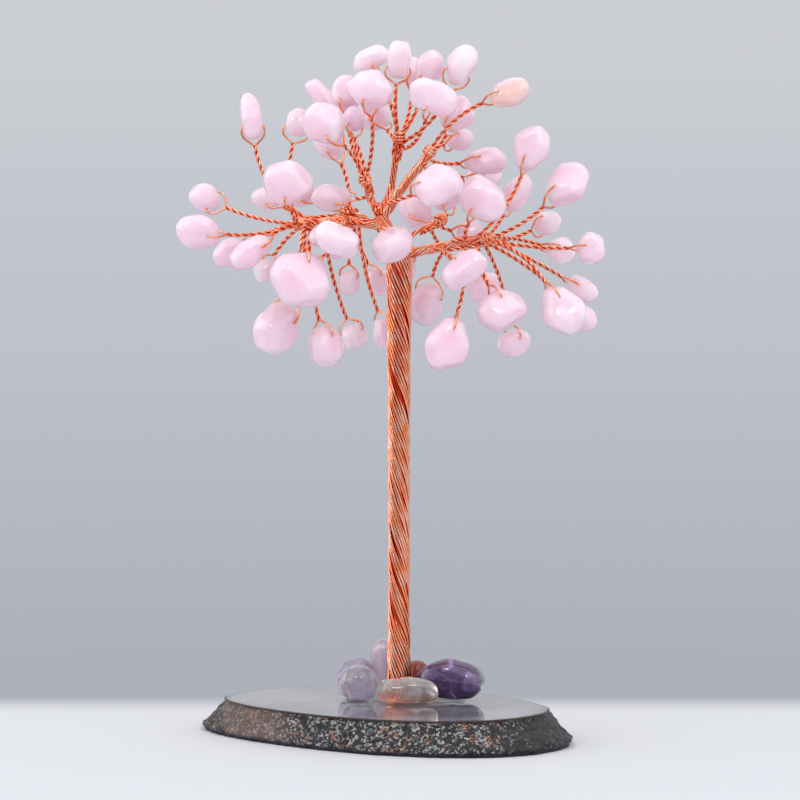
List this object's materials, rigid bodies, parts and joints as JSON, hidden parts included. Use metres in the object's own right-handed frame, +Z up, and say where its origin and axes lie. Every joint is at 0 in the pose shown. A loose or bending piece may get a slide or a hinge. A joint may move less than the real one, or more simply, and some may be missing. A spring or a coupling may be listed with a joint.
{
  "type": "gemstone tree ornament",
  "caption": "Small ornamental tree of twisted copper wire with drilled quartz chips hung on its twigs, standing on a polished agate slice among glued tumbled stones.",
  "frame": {"origin": "where the trunk's axis meets the underside of the agate slice", "axes": "+Z up along the trunk, +X to the right and -Y towards a viewer at the front"},
  "size_m": [0.0803, 0.0642, 0.1302],
  "materials": {
    "agate": "polished top, natural rim",
    "resin": "clear gloss",
    "amethyst_pebble": "tumbled gloss",
    "clear_pebble": "tumbled gloss",
    "smoky_pebble": "tumbled gloss",
    "lavender_pebble": "tumbled gloss",
    "rose_pebble": "tumbled gloss",
    "red_pebble": "tumbled gloss",
    "copper_wire": "bright drawn",
    "rose_quartz": "tumbled gloss"
  },
  "bodies": {
    "tree": {"agate_slice": "agate", "resin_bed": "resin", "amethyst_pebble": "amethyst_pebble", "clear_pebble": "clear_pebble", "smoky_pebble": "smoky_pebble", "lavender_pebble": "lavender_pebble", "rose_pebble": "rose_pebble", "red_pebble": "red_pebble", "trunk_core": "copper_wire", "trunk_strands": "copper_wire", "stem_bundle": "copper_wire", "stem_twigs": "copper_wire", "right_bundle": "copper_wire", "right_twigs": "copper_wire", "left_bundle": "copper_wire", "left_twigs": "copper_wire", "upper_left_bundle": "copper_wire", "upper_left_twigs": "copper_wire", "upper_right_bundle": "copper_wire", "upper_right_twigs": "copper_wire", "top_bundle": "copper_wire", "top_twigs": "copper_wire", "rear_right_bundle": "copper_wire", "rear_right_twigs": "copper_wire", "rear_left_bundle": "copper_wire", "rear_left_twigs": "copper_wire", "right_wedged_chips": "rose_quartz", "left_wedged_chips": "rose_quartz", "upper_wedged_chips": "rose_quartz", "top_wedged_chips": "rose_quartz", "rear_wedged_chips": "rose_quartz"},
    "chip_right_1": {"chip_right_1": "rose_quartz"},
    "chip_right_3": {"chip_right_3": "rose_quartz"},
    "chip_right_5": {"chip_right_5": "rose_quartz"},
    "chip_right_8": {"chip_right_8": "rose_quartz"},
    "chip_right_10": {"chip_right_10": "rose_quartz"},
    "chip_right_12": {"chip_right_12": "rose_quartz"},
    "chip_right_13": {"chip_right_13": "rose_quartz"},
    "chip_right_14": {"chip_right_14": "rose_quartz"},
    "chip_right_15": {"chip_right_15": "rose_quartz"},
    "chip_left_1": {"chip_left_1": "rose_quartz"},
    "chip_left_2": {"chip_left_2": "rose_quartz"},
    "chip_left_3": {"chip_left_3": "rose_quartz"},
    "chip_left_4": {"chip_left_4": "rose_quartz"},
    "chip_left_6": {"chip_left_6": "rose_quartz"},
    "chip_left_7": {"chip_left_7": "rose_quartz"},
    "chip_left_9": {"chip_left_9": "rose_quartz"},
    "chip_left_11": {"chip_left_11": "rose_quartz"},
    "chip_left_12": {"chip_left_12": "rose_quartz"},
    "chip_left_13": {"chip_left_13": "rose_quartz"},
    "chip_left_15": {"chip_left_15": "rose_quartz"},
    "chip_upper_left_1": {"chip_upper_left_1": "rose_quartz"},
    "chip_upper_left_4": {"chip_upper_left_4": "rose_quartz"},
    "chip_upper_left_7": {"chip_upper_left_7": "rose_quartz"},
    "chip_top_2": {"chip_top_2": "rose_quartz"},
    "chip_top_5": {"chip_top_5": "rose_quartz"},
    "chip_top_6": {"chip_top_6": "rose_quartz"},
    "chip_upper_right_3": {"chip_upper_right_3": "rose_quartz"},
    "chip_stem_1": {"chip_stem_1": "rose_quartz"}
  },
  "joints": [
    {"name": "swing_right_1", "type": "hinge", "parent": "tree", "child": "chip_right_1", "pos_m": [0.02421, -0.00004, 0.1085], "axis": [-0.2359, -0.9656, 0.1091], "range_deg": [-18, 18]},
    {"name": "swing_right_3", "type": "hinge", "parent": "tree", "child": "chip_right_3", "pos_m": [0.03017, 0.00223, 0.10201], "axis": [-0.2843, -0.8626, 0.4184], "range_deg": [-18, 18]},
    {"name": "swing_right_5", "type": "hinge", "parent": "tree", "child": "chip_right_5", "pos_m": [0.03488, -0.0005, 0.09153], "axis": [0.0171, -0.9846, 0.1741], "range_deg": [-18, 18]},
    {"name": "swing_right_8", "type": "hinge", "parent": "tree", "child": "chip_right_8", "pos_m": [0.02934, -0.00647, 0.08151], "axis": [0.1595, -0.9587, 0.2354], "range_deg": [-18, 18]},
    {"name": "swing_right_10", "type": "hinge", "parent": "tree", "child": "chip_right_10", "pos_m": [0.01843, -0.00826, 0.08118], "axis": [0.1943, -0.9138, 0.3566], "range_deg": [-18, 18]},
    {"name": "swing_right_12", "type": "hinge", "parent": "tree", "child": "chip_right_12", "pos_m": [0.00961, -0.01101, 0.07554], "axis": [0.1544, -0.9671, 0.2024], "range_deg": [-18, 18]},
    {"name": "swing_right_13", "type": "hinge", "parent": "tree", "child": "chip_right_13", "pos_m": [0.01138, -0.01168, 0.08778], "axis": [-0.3924, -0.7097, 0.5851], "range_deg": [-18, 18]},
    {"name": "swing_right_14", "type": "hinge", "parent": "tree", "child": "chip_right_14", "pos_m": [0.00557, 0.00805, 0.08268], "axis": [0.8098, -0.4724, -0.348], "range_deg": [-18, 18]},
    {"name": "swing_right_15", "type": "hinge", "parent": "tree", "child": "chip_right_15", "pos_m": [0.01467, -0.00582, 0.09919], "axis": [-0.349, -0.9314, -0.1036], "range_deg": [-18, 18]},
    {"name": "swing_left_1", "type": "hinge", "parent": "tree", "child": "chip_left_1", "pos_m": [-0.02754, -0.00005, 0.1145], "axis": [-0.9761, -0.1736, -0.1308], "range_deg": [-18, 18]},
    {"name": "swing_left_2", "type": "hinge", "parent": "tree", "child": "chip_left_2", "pos_m": [-0.01945, 0.00602, 0.11413], "axis": [-0.9531, -0.1706, 0.2501], "range_deg": [-18, 18]},
    {"name": "swing_left_3", "type": "hinge", "parent": "tree", "child": "chip_left_3", "pos_m": [-0.03543, 0.0032, 0.10036], "axis": [-0.39, -0.5689, -0.724], "range_deg": [-18, 18]},
    {"name": "swing_left_4", "type": "hinge", "parent": "tree", "child": "chip_left_4", "pos_m": [-0.03573, -0.00514, 0.09421], "axis": [0.0558, -0.9628, -0.2645], "range_deg": [-18, 18]},
    {"name": "swing_left_6", "type": "hinge", "parent": "tree", "child": "chip_left_6", "pos_m": [-0.02625, -0.00682, 0.09169], "axis": [0.373, -0.917, -0.1412], "range_deg": [-18, 18]},
    {"name": "swing_left_7", "type": "hinge", "parent": "tree", "child": "chip_left_7", "pos_m": [-0.02054, -0.00934, 0.10183], "axis": [-0.1828, -0.871, -0.456], "range_deg": [-18, 18]},
    {"name": "swing_left_9", "type": "hinge", "parent": "tree", "child": "chip_left_9", "pos_m": [-0.01786, -0.01251, 0.08726], "axis": [0.4098, -0.8147, 0.4102], "range_deg": [-18, 18]},
    {"name": "swing_left_11", "type": "hinge", "parent": "tree", "child": "chip_left_11", "pos_m": [-0.02192, -0.00466, 0.07829], "axis": [0.761, -0.5723, -0.3055], "range_deg": [-18, 18]},
    {"name": "swing_left_12", "type": "hinge", "parent": "tree", "child": "chip_left_12", "pos_m": [-0.01402, -0.00331, 0.0745], "axis": [0.6134, -0.7656, 0.1939], "range_deg": [-18, 18]},
    {"name": "swing_left_13", "type": "hinge", "parent": "tree", "child": "chip_left_13", "pos_m": [-0.00882, 0.00607, 0.0756], "axis": [0.8618, -0.4179, 0.2876], "range_deg": [-18, 18]},
    {"name": "swing_left_15", "type": "hinge", "parent": "tree", "child": "chip_left_15", "pos_m": [-0.0111, -0.01338, 0.09348], "axis": [0.3736, -0.5554, 0.7429], "range_deg": [-18, 18]},
    {"name": "swing_upper_left_1", "type": "hinge", "parent": "tree", "child": "chip_upper_left_1", "pos_m": [-0.01268, -0.00456, 0.11325], "axis": [-0.2889, -0.857, -0.4267], "range_deg": [-18, 18]},
    {"name": "swing_upper_left_4", "type": "hinge", "parent": "tree", "child": "chip_upper_left_4", "pos_m": [-0.00528, -0.00693, 0.11921], "axis": [-0.4861, -0.8518, -0.1954], "range_deg": [-18, 18]},
    {"name": "swing_upper_left_7", "type": "hinge", "parent": "tree", "child": "chip_upper_left_7", "pos_m": [0.00566, -0.01285, 0.10216], "axis": [-0.5393, -0.7721, 0.3363], "range_deg": [-18, 18]},
    {"name": "swing_top_2", "type": "hinge", "parent": "tree", "child": "chip_top_2", "pos_m": [-0.00015, -0.00314, 0.12517], "axis": [-0.9821, -0.1717, 0.0771], "range_deg": [-18, 18]},
    {"name": "swing_top_5", "type": "hinge", "parent": "tree", "child": "chip_top_5", "pos_m": [0.01097, -0.00224, 0.12416], "axis": [-0.8172, -0.4975, 0.2908], "range_deg": [-18, 18]},
    {"name": "swing_top_6", "type": "hinge", "parent": "tree", "child": "chip_top_6", "pos_m": [0.00586, -0.00903, 0.11801], "axis": [-0.3661, -0.8722, -0.3244], "range_deg": [-18, 18]},
    {"name": "swing_upper_right_3", "type": "hinge", "parent": "tree", "child": "chip_upper_right_3", "pos_m": [0.01881, -0.0014, 0.11993], "axis": [-0.1554, -0.9394, 0.3055], "range_deg": [-18, 18]},
    {"name": "swing_stem_1", "type": "hinge", "parent": "tree", "child": "chip_stem_1", "pos_m": [-0.00159, -0.0071, 0.09241], "axis": [-0.3903, -0.3888, 0.8346], "range_deg": [-18, 18]}
  ]
}
